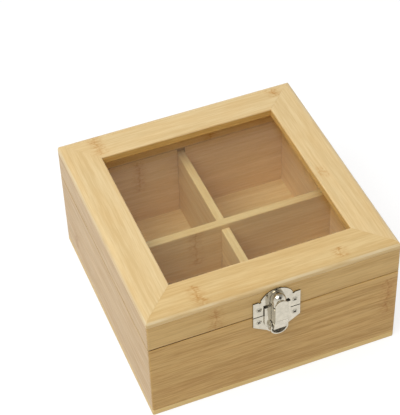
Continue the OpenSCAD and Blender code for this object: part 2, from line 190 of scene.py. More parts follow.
class Nodes:
    """Short calls that add nodes to a tree. Most hand back the new node's output socket."""

    def __init__(self, tree):
        self.tree = tree

    def feed(self, socket, value):
        """Links a socket to an output, or sets its value. None leaves it as it is."""
        if isinstance(value, bpy.types.NodeSocket):
            self.tree.links.new(value, socket)
        elif value is not None:
            socket.default_value = value

    def add(self, kind, inputs=None, **settings):
        """A new node with its settings made and its inputs fed."""
        node = self.tree.nodes.new(kind)
        for key, value in settings.items():
            setattr(node, key, value)
        for name, value in (inputs or {}).items():
            self.feed(node.inputs[name], value)
        return node

    def call(self, kind, output, inputs, **settings):
        """The named output of a new node."""
        return self.add(kind, inputs, **settings).outputs[output]

    def math(self, operation, first, second=None, clamp=False):
        inputs = {0: first, 1: second}
        return self.call("ShaderNodeMath", 0, inputs, operation=operation, use_clamp=clamp)

    def ramp(self, value, low, high, to_low=0.0, to_high=1.0):
        """Smooth step from low to high."""
        inputs = {"Value": value, "From Min": low, "From Max": high,
                  "To Min": to_low, "To Max": to_high}
        return self.call("ShaderNodeMapRange", 0, inputs, interpolation_type="SMOOTHSTEP")

    def mix(self, factor, first, second, blend="MIX"):
        """Two colours mixed, by the mix node's colour sockets."""
        inputs = {0: factor, 6: first, 7: second}
        return self.call("ShaderNodeMix", 2, inputs, data_type="RGBA", blend_type=blend)

    def noise(self, vector, detail=2.0, roughness=0.5):
        inputs = {"Vector": vector, "Scale": 1.0, "Detail": detail, "Roughness": roughness}
        return self.call("ShaderNodeTexNoise", 0, inputs)

    def split(self, vector):
        return tuple(self.add("ShaderNodeSeparateXYZ", {0: vector}).outputs)

    def join(self, x, y, z):
        return self.call("ShaderNodeCombineXYZ", 0, {0: x, 1: y, 2: z})

    def spread(self, along, across, deep, gaps):
        """Grain space with one unit for each of the three gaps, in metres."""
        x, y, z = (self.math("DIVIDE", a, gap) for a, gap in zip((along, across, deep), gaps))
        return self.join(x, y, z)


def new_group(name, inputs, outputs):
    """An empty shader node group with its sockets, and its input and output nodes."""
    tree = bpy.data.node_groups.new(name, "ShaderNodeTree")
    for label, kind in inputs:
        tree.interface.new_socket(label, in_out="INPUT", socket_type=kind)
    for label, kind in outputs:
        tree.interface.new_socket(label, in_out="OUTPUT", socket_type=kind)
    return tree, tree.nodes.new("NodeGroupInput").outputs, tree.nodes.new("NodeGroupOutput").inputs


def group_named(name, build):
    """The node group of that name, built the first time."""
    return bpy.data.node_groups.get(name) or build(name)


# How far each layer of the grain takes the wood from its pale tone to its deep one
FIBRE_WEIGHT = 0.58
HAIR_WEIGHT = 0.52
BAND_WEIGHT = 0.46
STRIP_WEIGHT = 0.40
GLUE_WEIGHT = 0.12

# Width of a hair as a share of a fibre's
HAIR_SHARE = 0.34

# Length of cane that the strips come from, and how far across it two boards lie apart
CANE_LENGTH = 700 * MM
BOARD_STEP = 31 * MM

# Width over which a fibre wanders
WANDER = 2.2 * MM

# Tint of the warmer clouds, and how much of it there is at most
WARM_TINT = (1.0, 0.90, 0.74, 1.0)
WARM_SHARE = 0.30


def build_bamboo_group(name):
    """Colour, roughness and height of strip-laminated bamboo in grain space, in metres:
    x runs along the fibres, y across the strips, z into the board."""
    vector, colour, number = "NodeSocketVector", "NodeSocketColor", "NodeSocketFloat"
    tree, given, result = new_group(
        name,
        (("Grain", vector), ("Pale", colour), ("Deep", colour), ("Strip Width", number),
         ("Fibre Gap", number), ("Seed", number)),
        (("Color", colour), ("Roughness", number), ("Height", number)),
    )
    n = Nodes(tree)
    along, across, deep = n.split(given["Grain"])
    seed, gap = given["Seed"], given["Fibre Gap"]

    # Each strip has its own tone and its own stretch of the cane
    strip = n.math("ADD", n.math("DIVIDE", across, given["Strip Width"]), seed)
    strip_index = n.math("FLOOR", strip)
    strip_tone = n.call("ShaderNodeTexWhiteNoise", "Value",
                        {"W": n.math("ADD", strip_index, seed)}, noise_dimensions="1D")
    own_along = n.math("ADD", along, n.math("MULTIPLY", strip_tone, CANE_LENGTH))
    from_middle = n.math("ABSOLUTE", n.math("SUBTRACT", n.math("FRACT", strip), 0.5))
    glue_line = n.ramp(from_middle, 0.465, 0.5)

    # Fibres wander a little, run in bundles and carry fine pores
    wander = n.noise(n.spread(own_along, across, deep, (55 * MM, 20 * MM, 20 * MM)), detail=1.0)
    shift = n.math("MULTIPLY", n.math("SUBTRACT", wander, 0.5), WANDER)
    lane = n.math("ADD", n.math("ADD", across, shift), n.math("MULTIPLY", seed, BOARD_STEP))

    def streaks(length, width, detail=2.0, roughness=0.5):
        """Noise in streaks of that length along the fibres and that width across them."""
        return n.noise(n.spread(own_along, lane, deep, (length, width, width)), detail, roughness)

    def layer(noise, weight, reach=0.20):
        """What a noise adds to the depth of the tone, from -weight / 2 to weight / 2."""
        tone = n.ramp(noise, 0.5 - reach, 0.5 + reach)
        return n.math("MULTIPLY", n.math("SUBTRACT", tone, 0.5), weight)

    fibres = streaks(34 * MM, gap, roughness=0.6)
    hairs = streaks(9 * MM, n.math("MULTIPLY", gap, HAIR_SHARE))
    bands = streaks(85 * MM, 5.5 * MM, detail=1.0)
    clouds = streaks(35 * MM, 14 * MM)

    own_tone = n.math("MULTIPLY", n.math("SUBTRACT", strip_tone, 0.5), STRIP_WEIGHT)
    depth = n.math("ADD", layer(fibres, FIBRE_WEIGHT, reach=0.18), layer(hairs, HAIR_WEIGHT))
    depth = n.math("ADD", depth, layer(bands, BAND_WEIGHT))
    depth = n.math("ADD", depth, own_tone)
    depth = n.math("ADD", depth, n.math("MULTIPLY", glue_line, GLUE_WEIGHT))
    depth = n.math("ADD", depth, 0.5, clamp=True)
    wood = n.mix(depth, given["Pale"], given["Deep"])
    warm = n.mix(n.ramp(clouds, 0.35, 0.7, 0.0, WARM_SHARE), wood, WARM_TINT, "MULTIPLY")

    n.feed(result["Color"], warm)
    n.feed(result["Roughness"], n.ramp(fibres, 0.3, 0.7, 0.40, 0.50))
    n.feed(result["Height"], n.math("ADD", n.math("MULTIPLY", fibres, 0.6),
                                    n.math("MULTIPLY", hairs, 0.4)))
    return tree


# Width over which a cane node's line bends, and how dark its line, dashes and stain are
NODE_BEND = 6 * MM
LINE_WEIGHT = 0.3
DASH_WEIGHT = 0.5
STAIN_WEIGHT = 0.3


def build_mark_group(name):
    """Mask of one cane node: a thin wavy line across the strip and dashes that branch off
    along the fibres, in a patchy stain. Place is along the fibres, and Low and High bound
    it across."""
    vector, number = "NodeSocketVector", "NodeSocketFloat"
    tree, given, result = new_group(
        name,
        (("Grain", vector), ("Place", number), ("Low", number), ("High", number)),
        (("Mask", number),),
    )
    n = Nodes(tree)
    along, across, deep = n.split(given["Grain"])
    wave = n.noise(n.spread(given["Place"], across, deep, (10 * MM, 5 * MM, 5 * MM)), detail=1.0)
    bend = n.math("MULTIPLY", n.math("SUBTRACT", wave, 0.5), NODE_BEND)
    away = n.math("ABSOLUTE", n.math("SUBTRACT", n.math("SUBTRACT", along, given["Place"]), bend))
    line = n.ramp(away, 0.9 * MM, 0.2 * MM)
    flecks = n.noise(n.spread(along, across, deep, (3.2 * MM, 0.9 * MM, 0.9 * MM)), detail=2.0)
    dashes = n.math("MULTIPLY", n.ramp(flecks, 0.50, 0.62), n.ramp(away, 6.5 * MM, 1.5 * MM))
    patches = n.noise(n.spread(along, across, deep, (4 * MM, 3 * MM, 3 * MM)), detail=2.0)
    stain = n.math("MULTIPLY", n.ramp(patches, 0.35, 0.65), n.ramp(away, 7.5 * MM, 1 * MM))
    mask = n.math("ADD", n.math("MULTIPLY", line, LINE_WEIGHT),
                  n.math("MULTIPLY", dashes, DASH_WEIGHT))
    mask = n.math("ADD", mask, n.math("MULTIPLY", stain, STAIN_WEIGHT), clamp=True)
    soft = 0.6 * MM
    inside = n.math(
        "MULTIPLY",
        n.ramp(n.math("SUBTRACT", across, given["Low"]), -soft, soft),
        n.ramp(n.math("SUBTRACT", given["High"], across), -soft, soft),
    )
    n.feed(result["Mask"], n.math("MULTIPLY", mask, inside))
    return tree


def new_material(name):
    """An empty node material with its output node."""
    material = bpy.data.materials.new(name)
    material.use_nodes = True
    material.node_tree.nodes.clear()
    nodes = Nodes(material.node_tree)
    output = nodes.add("ShaderNodeOutputMaterial")
    return material, nodes, output


# Share of painted shade in the seam at the box's left and right
SHADE_LEFT = 0.9
SHADE_RIGHT = 0.1


def painted_seam_shade(n, axes):
    """Share of painted shade in the mouth of the closed seam, where ambient occlusion finds it hemmed in,
    more of it towards the left.
    """
    from_seam = n.math("ABSOLUTE", n.math("SUBTRACT", axes["Z"], seam_height))
    open_air = n.call("ShaderNodeAmbientOcclusion", "AO", {"Distance": 2 * MM}, samples=8)
    mouth = n.math("MULTIPLY", n.ramp(from_seam, 1.2 * MM, 0.9 * MM), n.ramp(open_air, 0.9, 0.6))
    return n.math("MULTIPLY", mouth, n.ramp(axes["X"], -65 * MM, 30 * MM, SHADE_LEFT, SHADE_RIGHT))


def bamboo_material(name, order, pale, deep, seed, marks, inner_face, rounded, closing):
    """Lacquered bamboo. order names the object axes that run along the fibres, across
    the strips and into the board, seed picks the board's own cut of the grain, and each
    mark is (place, low, high) in millimetres. inner_face is None or (axis, distance,
    pale, deep), where the board has these colours up to that distance from the origin,
    as on a face that looks inwards. A rounded board has a painted highlight where its
    rounding faces half up, and a closing board has painted shade in the mouth of the seam."""
    look = bpy.context.scene.bamboo_look
    material, n, output = new_material(name)
    space = n.call("ShaderNodeTexCoord", "Object", {})
    axes = dict(zip("XYZ", n.split(space)))
    grain = n.join(*(axes[axis] for axis in order))
    pale, deep = (*pale, 1), (*deep, 1)
    if inner_face:
        axis, distance, inner_pale, inner_deep = inner_face
        from_origin = n.math("ABSOLUTE", axes[axis])
        inside = n.ramp(from_origin, distance + 0.4 * MM, distance + 0.15 * MM)
        pale = n.mix(inside, pale, (*inner_pale, 1))
        deep = n.mix(inside, deep, (*inner_deep, 1))
    wood = n.add("ShaderNodeGroup", {
        "Grain": grain, "Pale": pale, "Deep": deep, "Strip Width": look.strip_width,
        "Fibre Gap": look.fibre_gap, "Seed": seed,
    }, node_tree=group_named("bamboo", build_bamboo_group)).outputs
    colour = wood["Color"]
    for place, low, high in marks:
        mark = n.call("ShaderNodeGroup", "Mask", {
            "Grain": grain, "Place": place * MM, "Low": low * MM, "High": high * MM,
        }, node_tree=group_named("cane_node", build_mark_group))
        colour = n.mix(mark, colour, (*look.mark_tint, 1), "MULTIPLY")
    # Painted highlight on the rounding where it faces half up, in uneven patches
    if rounded:
        upward = n.split(n.call("ShaderNodeTexCoord", "Normal", {}))[2]
        sheen_band = n.math("MULTIPLY", n.ramp(upward, 0.08, 0.25), n.ramp(upward, 0.70, 0.45))
        patches = n.noise(n.spread(*axes.values(), (30 * MM, 30 * MM, 30 * MM)))
        uneven = n.ramp(patches, 0.3, 0.7, 0.1, 0.6)
        colour = n.mix(n.math("MULTIPLY", sheen_band, uneven), colour, (*look.painted_rounding_sheen, 1))
    # Painted shade in the mouth of the closed seam, darker towards the left
    if closing:
        colour = n.mix(painted_seam_shade(n, axes), colour, (*look.painted_seam_shade, 1))
    bump = n.call("ShaderNodeBump", "Normal", {
        "Strength": 0.35, "Distance": 0.04 * MM, "Height": wood["Height"]})
    shader = n.call("ShaderNodeBsdfPrincipled", 0, {
        "Base Color": colour, "Roughness": wood["Roughness"], "Normal": bump,
        "Specular IOR Level": 0.35, "Coat Weight": 0.12, "Coat Roughness": 0.3})
    n.feed(output.inputs["Surface"], shader)
    return material


# Brightness left where the plating is rubbed, and how dull it gets in the deepest hollow
RUBBED_SHARE = 0.86
MOST_DULL = 0.75


def nickel_material(name, colour, sheet=False):
    """Nickel plate, worn bright: faint clouding and rub marks, dirt and painted shade where two
    faces meet in a crevice, and a dull plating deep in a hollow. A sheet is darker where it
    stands square to its front, and most so on the cut edges of plates on the wood: partly
    the sheared metal's own dullness, partly painted shade and painted dark reflection."""
    look = bpy.context.scene.latch_look
    material, n, output = new_material(name)
    space = n.call("ShaderNodeTexCoord", "Object", {})
    x, y, z = n.split(space)
    clouds = n.noise(n.spread(x, y, z, (3 * MM, 3 * MM, 3 * MM)), detail=3.0)
    rubs = n.noise(n.spread(x, y, z, (4 * MM, 0.3 * MM, 0.3 * MM)), detail=2.0)
    wear = n.math("ADD", n.math("MULTIPLY", clouds, 0.7), n.math("MULTIPLY", rubs, 0.3))
    rubbed = tuple(RUBBED_SHARE * value for value in colour)
    plating = n.mix(n.ramp(wear, 0.35, 0.65), (*colour, 1), (*rubbed, 1))

    # Dirt and painted shade darken the crevices, most of them close to the wood
    open_air = n.call("ShaderNodeAmbientOcclusion", "AO", {"Distance": look.crevice}, samples=8)
    off_wood = n.math("SUBTRACT", n.math("ABSOLUTE", y), half_depth)
    low_lying = n.ramp(off_wood, 2.4 * MM, 1.2 * MM, 0.1, 0.9)
    dirt_and_shade = n.math("MULTIPLY", n.ramp(open_air, 0.25, 0.70, 1.0, 0.0), low_lying)

    # The plating is dull in the cup under the latch's pin, and deep in any hollow
    hollow = n.call("ShaderNodeAmbientOcclusion", "AO", {"Distance": look.hollow}, samples=8)
    pin_low, pin_high = (corner[2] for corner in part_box("latch_pin"))
    under_pin = n.ramp(z, (pin_low + pin_high) / 2, pin_low)
    in_cup = n.math("MULTIPLY", n.ramp(off_wood, 1.0 * MM, 1.4 * MM), under_pin)
    in_cup = n.math("MULTIPLY", in_cup, n.ramp(hollow, 0.85, 0.60))
    dull = n.math("MAXIMUM", n.ramp(hollow, 0.55, 0.20, 0.0, MOST_DULL), in_cup)

    # The sheared edges' own dullness, and painted shade and dark reflection on faces turned away from the
    # front, most next to the wood
    if sheet:
        facing = n.math("ABSOLUTE", n.split(n.call("ShaderNodeTexCoord", "Normal", {}))[1])
        edge_and_shade_share = n.ramp(off_wood, 1.1 * MM, 0.9 * MM, 0.25, 0.9)
        side = n.math("MULTIPLY", n.ramp(facing, 0.75, 0.3), edge_and_shade_share)
        side = n.math("MULTIPLY", side, n.math("SUBTRACT", 1.0, in_cup))
        plating = n.mix(side, plating, (*look.cut_edge_and_shade, 1))
    bump = n.call("ShaderNodeBump", "Normal", {
        "Strength": 0.25, "Distance": 0.05 * MM, "Height": clouds})
    shader = n.call("ShaderNodeBsdfPrincipled", 0, {
        "Base Color": n.mix(dirt_and_shade, plating, (*look.dirt_and_shade, 1)),
        "Metallic": n.math("SUBTRACT", 1.0, dull),
        "Roughness": n.ramp(wear, 0.35, 0.65, 0.07, 0.16), "Normal": bump})
    n.feed(output.inputs["Surface"], shader)
    return material


# Reflection of the clear sheet, seen square on
SQUARE_MIRROR = 0.04


def pane_material(name):
    """Clear sheet that mirrors its surroundings, with faint wiping marks in its gloss."""
    material, n, output = new_material(name)
    space = n.call("ShaderNodeTexCoord", "Object", {})
    x, y, z = n.split(space)
    wipes = n.noise(n.spread(x, y, z, (30 * MM, 12 * MM, 12 * MM)), detail=4.0, roughness=0.6)
    clear = n.call("ShaderNodeBsdfTransparent", 0, {"Color": (0.95, 0.95, 0.93, 1)})
    gloss = n.call("ShaderNodeBsdfAnisotropic", 0, {
        "Color": (1, 1, 1, 1), "Roughness": n.ramp(wipes, 0.4, 0.7, 0.02, 0.06)})
    facing = n.call("ShaderNodeLayerWeight", "Facing", {"Blend": 0.5})
    grazing = n.math("MULTIPLY", n.math("POWER", facing, 5.0), 1 - SQUARE_MIRROR)
    mirror = n.math("ADD", grazing, SQUARE_MIRROR)
    mixed = n.call("ShaderNodeMixShader", 0, {0: mirror, 1: clear, 2: gloss})
    n.feed(output.inputs["Surface"], mixed)
    return material


def merged_mesh(node):
    """A bmesh copy of a CAD piece with its loose triangles joined into whole faces."""
    shape = bmesh.new()
    shape.from_mesh(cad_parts[node].data)
    bmesh.ops.remove_doubles(shape, verts=shape.verts, dist=0.002 * MM)
    bmesh.ops.dissolve_limit(
        shape, angle_limit=math.radians(0.5), use_dissolve_boundaries=False,
        verts=shape.verts, edges=shape.edges,
    )
    return shape


def on_mitre(vertex):
    """True at a point where two sides of the box meet in a mitre."""
    gap = (half_width - abs(vertex.co.x)) - (half_depth - abs(vertex.co.y))
    return abs(gap) < 0.01 * MM


def plain_mesh(piece):
    """Applies a piece's modifiers, so that its mesh is the finished shape."""
    evaluated = piece.evaluated_get(bpy.context.evaluated_depsgraph_get())
    mesh = bpy.data.meshes.new_from_object(evaluated)
    piece.modifiers.clear()
    piece.data = mesh
    mesh.name = piece.name


def finish_piece(piece, body, material, node):
    """Gives a piece its material, ties it to its body and hides the CAD node it stands for."""
    piece.data.materials.clear()
    piece.data.materials.append(material)
    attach(piece, body)
    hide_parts(node)


# Edges that turn more than this are eased
SHARP_TURN = math.radians(30)


def eased_piece(node, ease, mitre_share=1.0):
    """A copy of a CAD piece whose sharp edges are rounded over the width ease, and its
    mitred edges over mitre_share of it."""
    shape = merged_mesh(node)
    mesh = bpy.data.meshes.new(node + "_finished")
    weights = []
    for edge in shape.edges:
        sharp = edge.is_manifold and edge.calc_face_angle() > SHARP_TURN
        mitred = all(on_mitre(vertex) for vertex in edge.verts)
        weights.append((mitre_share if mitred else 1.0) if sharp else 0.0)
    shape.to_mesh(mesh)
    shape.free()
    mesh.attributes.new("bevel_weight_edge", "FLOAT", "EDGE").data.foreach_set("value", weights)
    mesh.shade_smooth()
    piece = bpy.data.objects.new(node + "_finished", mesh)
    bpy.context.scene.collection.objects.link(piece)
    bevel = piece.modifiers.new("Eased edges", "BEVEL")
    bevel.limit_method = "WEIGHT"
    bevel.width = ease
    bevel.segments = 2
    bevel.use_clamp_overlap = True
    normals = piece.modifiers.new("Flat faces stay flat", "WEIGHTED_NORMAL")
    normals.keep_sharp = True
    plain_mesh(piece)
    low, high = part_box(node)
    for vertex in piece.data.vertices:
        vertex.co = [min(max(v, a), b) for v, a, b in zip(vertex.co, low, high)]
    return piece


# Thickness of the glue between the pane and the rails above it
GLUE = 0.05 * MM

# Cane nodes of each piece: place along the fibres, then low and high across, in millimetres
CANE_NODES = {
    "lid_rail_front": ((-46, -80, -65), (44, -78, -70)),
    "lid_rail_back": ((-57, 61, 80), (66, 69, 77)),
    "lid_rail_right": ((-9, 60, 66),),
    "lid_side_front": ((-38, 58, 77),),
    "front_wall": ((73, 25, 55),),
    "back_wall": ((-30, 31, 58),),
    "left_wall": ((58, 12, 27),),
    "right_wall": ((-35, 34, 57),),
    "long_divider": ((-20, 30, 58),),
    "lid_side_back": ((21, 59, 70),),
    "bottom_board": ((30, -60, -30), (-45, 10, 52)),
}


def inward_face(node, axis, pale, deep):
    """The axis, distance from the middle and colours of a board's face that looks inwards."""
    low, high = (corner["XYZ".index(axis)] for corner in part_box(node))
    return axis, min(abs(low), abs(high)), pale, deep


def wooden(node, body, slot, order, pale, deep, seed, inner_face=None):
    """Finishes one bamboo piece. The walls and the lid's sides close on each other."""
    look = bpy.context.scene.bamboo_look
    marks = CANE_NODES.get(node, ())
    rounded = slot == "bamboo_lid"
    closing = node.endswith("_wall") or node.startswith("lid_side")
    material = bamboo_material(
        node + "_bamboo", order, pale, deep, seed, marks, inner_face, rounded, closing)
    piece = eased_piece(node, look.edge_ease, look.mitre_ease)
    finish_piece(piece, body, material, node)


class TEABOX_OT_walls(bpy.types.Operator):
    """Finish the four walls of the base"""

    bl_idname = "teabox.walls"
    bl_label = "Base walls"

    def execute(self, context):
        look = context.scene.bamboo_look
        sides = (look.side_pale, look.side_deep)
        front = (look.front_pale, look.front_deep)
        for node, order, colours, seed in (
            # The front wall's seed is picked so that its strips run paler towards the top: painted light
            # on the front's upper part.
            ("front_wall", "XZY", front, 46), ("right_wall", "YZX", sides, 2),
            ("back_wall", "XZY", sides, 3), ("left_wall", "YZX", sides, 4),
        ):
            inner = inward_face(node, order[2], look.inside_pale, look.inside_deep)
            wooden(node, "base", "bamboo_base", order, *colours, seed, inner)
        return {"FINISHED"}


class TEABOX_OT_inside(bpy.types.Operator):
    """Finish the bottom board and the two crossed dividers"""

    bl_idname = "teabox.inside"
    bl_label = "Bottom and dividers"

    def execute(self, context):
        look = context.scene.bamboo_look
        colours = (look.board_pale, look.board_deep)
        under_floor = ("Z", floor_top - 0.5 * MM, look.edge_pale, look.edge_deep)
        wooden("bottom_board", "base", "bamboo_base", "XYZ", *colours, 5, under_floor)
        wooden("long_divider", "base", "bamboo_base", "XZY", *colours, 6)
        wooden("cross_divider", "base", "bamboo_base", "YZX", *colours, 7)
        return {"FINISHED"}


class TEABOX_OT_lid(bpy.types.Operator):
    """Finish the lid's sides and the rails of its window frame"""

    bl_idname = "teabox.lid"
    bl_label = "Lid"

    def execute(self, context):
        look = context.scene.bamboo_look
        sides = (look.side_pale, look.side_deep)
        front = (look.lid_front_pale, look.lid_front_deep)
        for node, order, colours, seed in (
            ("lid_side_front", "XZY", front, 57), ("lid_side_right", "YZX", sides, 9),
            ("lid_side_back", "XZY", sides, 10), ("lid_side_left", "YZX", sides, 11),
        ):
            inner = inward_face(node, order[2], look.inside_pale, look.inside_deep)
            wooden(node, "lid", "bamboo_base", order, *colours, seed, inner)
        rails = (look.rail_pale, look.rail_deep)
        front_rail = (look.front_rail_pale, look.front_rail_deep)
        for node, order, colours, seed in (
            ("lid_rail_front", "XYZ", front_rail, 12), ("lid_rail_right", "YXZ", rails, 13),
            ("lid_rail_back", "XYZ", rails, 14), ("lid_rail_left", "YXZ", rails, 8),
        ):
            inner = inward_face(node, order[1], look.reveal_pale, look.reveal_deep)
            wooden(node, "lid", "bamboo_lid", order, *colours, seed, inner)
        return {"FINISHED"}


class TEABOX_OT_pane(bpy.types.Operator):
    """Fit the clear pane under the window's rails"""

    bl_idname = "teabox.pane"
    bl_label = "Window pane"

    def execute(self, context):
        pane = eased_piece("window_pane", context.scene.bamboo_look.edge_ease)
        glued_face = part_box("window_pane")[1][2] - GLUE
        for vertex in pane.data.vertices:
            vertex.co.z = min(vertex.co.z, glued_face)
        finish_piece(pane, "lid", pane_material("clear_sheet"), "window_pane")
        return {"FINISHED"}


class TEABOX_OT_fittings(bpy.types.Operator):
    """Plate the hinges and the latch"""

    bl_idname = "teabox.fittings"
    bl_label = "Hinges and latch"

    def execute(self, context):
        look = context.scene.latch_look
        sheet = nickel_material("nickel_sheet", look.nickel, sheet=True)
        rod = nickel_material("nickel_rod", look.screw_nickel)
        for node, body in (
            ("hinge_base_leaf_left", "base"), ("hinge_base_leaf_right", "base"),
            ("hinge_lid_leaf_left", "lid"), ("hinge_lid_leaf_right", "lid"),
            ("latch_plate", "base"), ("catch_plate", "lid"), ("latch_hasp", "hasp"),
        ):
            finish_piece(eased_piece(node, look.sheet_ease), body, sheet, node)
        for node in ("hinge_pin_left", "hinge_pin_right", "latch_pin"):
            finish_piece(eased_piece(node, look.sheet_ease), "base", rod, node)
        return {"FINISHED"}


def screw_places(node, outwards):
    """Centre of each screw head's crown in a CAD node of screws that face along Y."""
    shape = merged_mesh(node)
    unseen = set(shape.verts)
    places = []
    while unseen:
        found = [unseen.pop()]
        island = []
        while found:
            vertex = found.pop()
            island.append(vertex.co.copy())
            for edge in vertex.link_edges:
                other = edge.other_vert(vertex)
                if other in unseen:
                    unseen.remove(other)
                    found.append(other)
        xs, ys, zs = zip(*island)
        tip = max(ys) if outwards > 0 else min(ys)
        places.append(Vector(((min(xs) + max(xs)) / 2, tip, (min(zs) + max(zs)) / 2)))
    shape.free()
    return sorted(places, key=lambda place: (place.x, place.z))


def build_screw_tree(name):
    """Geometry nodes that put an oval-head screw with a cross slot on each point."""
    tree = bpy.data.node_groups.new(name, "GeometryNodeTree")
    number, whole = "NodeSocketFloat", "NodeSocketInt"
    for label, kind in (
        ("Places", "NodeSocketGeometry"), ("Head Radius", number), ("Oval Height", number),
        ("Countersink", number), ("Shank Radius", number), ("Shank Length", number),
        ("Slot Length", number), ("Slot Width", number), ("Slot Depth", number),
        ("Facing", "NodeSocketRotation"), ("Seed", whole), ("Material", "NodeSocketMaterial"),
    ):
        tree.interface.new_socket(label, in_out="INPUT", socket_type=kind)
    tree.interface.new_socket("Screws", in_out="OUTPUT", socket_type="NodeSocketGeometry")
    given = tree.nodes.new("NodeGroupInput").outputs
    result = tree.nodes.new("NodeGroupOutput").inputs
    n = Nodes(tree)

    # Countersunk head with its shank drawn out of the narrow end
    head = n.add("GeometryNodeMeshCone", {
        "Vertices": 40, "Fill Segments": 6, "Radius Top": given["Head Radius"],
        "Radius Bottom": given["Shank Radius"], "Depth": given["Countersink"],
    }, fill_type="NGON").outputs
    shank = n.call("GeometryNodeExtrudeMesh", "Mesh", {
        "Mesh": head["Mesh"], "Selection": head["Bottom"],
        "Offset Scale": given["Shank Length"], "Individual": False})
    x, y, z = n.split(n.call("GeometryNodeInputPosition", 0, {}))
    radius = n.math("DIVIDE", n.math("SQRT", n.math(
        "ADD", n.math("MULTIPLY", x, x), n.math("MULTIPLY", y, y))), given["Head Radius"])
    crown = n.math("MULTIPLY", given["Oval Height"],
                   n.math("SUBTRACT", 1.0, n.math("MULTIPLY", radius, radius)))
    nearly_top = n.math("MULTIPLY", given["Countersink"], 0.99)
    on_top = n.math("GREATER_THAN", z, nearly_top)
    domed = n.call("GeometryNodeSetPosition", 0, {
        "Geometry": shank, "Offset": n.join(0.0, 0.0, n.math("MULTIPLY", crown, on_top))})
    slot_size = n.join(given["Slot Length"], given["Slot Width"],
                       n.math("MULTIPLY", given["Slot Depth"], 2.0))
    slot = n.call("GeometryNodeMeshCube", "Mesh", {"Size": slot_size})
    top = n.math("ADD", given["Countersink"], given["Oval Height"])
    cut = n.add("GeometryNodeMeshBoolean", operation="DIFFERENCE", solver="EXACT")
    n.feed(cut.inputs["Mesh 1"], domed)
    for turn in (45, 135):
        n.feed(cut.inputs["Mesh 2"], n.call("GeometryNodeTransform", 0, {
            "Geometry": slot, "Translation": n.join(0.0, 0.0, top),
            "Rotation": (0, 0, math.radians(turn))}))
    centred = n.call("GeometryNodeTransform", 0, {
        "Geometry": cut.outputs["Mesh"],
        "Translation": n.join(0.0, 0.0, n.math("MULTIPLY", top, -1.0))})

    # One screw for each place, each turned its own way
    instances = n.call("GeometryNodeInstanceOnPoints", 0, {
        "Points": given["Places"], "Instance": centred, "Rotation": given["Facing"]})
    turn = n.add("FunctionNodeRandomValue", data_type="FLOAT")
    for socket in turn.inputs:
        if socket.name == "Max" and socket.type == "VALUE":
            socket.default_value = math.tau
    n.feed(next(s for s in turn.inputs if s.name == "Seed"), given["Seed"])
    angle = next(s for s in turn.outputs if s.type == "VALUE" and s.enabled)
    turned = n.call("GeometryNodeRotateInstances", 0, {
        "Instances": instances, "Rotation": n.join(0.0, 0.0, angle)})
    realised = n.call("GeometryNodeRealizeInstances", 0, {"Geometry": turned})
    n.feed(result["Screws"], n.call("GeometryNodeSetMaterial", 0, {
        "Geometry": realised, "Material": given["Material"]}))
    return tree


def screws(node, body, outwards, material):
    """All the screws of one CAD node, as one plain mesh."""
    look = bpy.context.scene.latch_look
    mesh = bpy.data.meshes.new(node + "_finished")
    mesh.from_pydata(screw_places(node, outwards), [], [])
    piece = bpy.data.objects.new(node + "_finished", mesh)
    bpy.context.scene.collection.objects.link(piece)
    tree = group_named("oval_head_screws", build_screw_tree)
    modifier = piece.modifiers.new("Screws", "NODES")
    modifier.node_group = tree
    values = {
        "Head Radius": look.head_radius, "Oval Height": look.oval_height,
        "Countersink": look.sink, "Shank Radius": look.shank_radius,
        "Shank Length": look.shank_length, "Slot Length": look.slot_length,
        "Slot Width": look.slot_width, "Slot Depth": look.slot_depth,
        "Facing": (-outwards * math.pi / 2, 0, 0), "Seed": look.turn_seed, "Material": material,
    }
    for socket in tree.interface.items_tree:
        if socket.in_out == "INPUT" and socket.name in values:
            modifier[socket.identifier] = values[socket.name]
    plain_mesh(piece)
    piece.data.shade_smooth()
    piece.data.set_sharp_from_angle(angle=math.radians(35))
    finish_piece(piece, body, material, node)


class TEABOX_OT_screws(bpy.types.Operator):
    """Put an oval-head screw in each hole of the hinges and the latch"""

    bl_idname = "teabox.screws"
    bl_label = "Screws"

    def execute(self, context):
        material = nickel_material("nickel_screw", context.scene.latch_look.screw_nickel)
        for node, body, outwards in (
            ("hinge_base_screws", "base", 1), ("hinge_lid_screws", "lid", 1),
            ("catch_screws", "lid", -1), ("latch_screws", "base", -1),
        ):
            screws(node, body, outwards, material)
        return {"FINISHED"}


def seen_rays(n):
    """1 for rays from the camera, from gloss and through glass, and 0 for the rest."""
    path = n.add("ShaderNodeLightPath").outputs
    seen = n.math("MAXIMUM", path["Is Camera Ray"], path["Is Glossy Ray"])
    return n.math("MAXIMUM", seen, path["Is Transmission Ray"])


# Hair's breadth between the floor and the box's underside
FLOOR_GAP = 0.05 * MM
FLOOR_WIDTH = 8

# Direction, from the box, of the dark patch in the white surroundings that only gloss mirrors
DARK_GAP = (0.25, -0.66, 0.70)

# Where the large soft lamp stands, what it points at and the length of its side, in metres
KEY_PLACE = (-0.75, -0.4, 1.6)
KEY_AIM = (0, 0, 0.05)
KEY_SIZE = 1.3


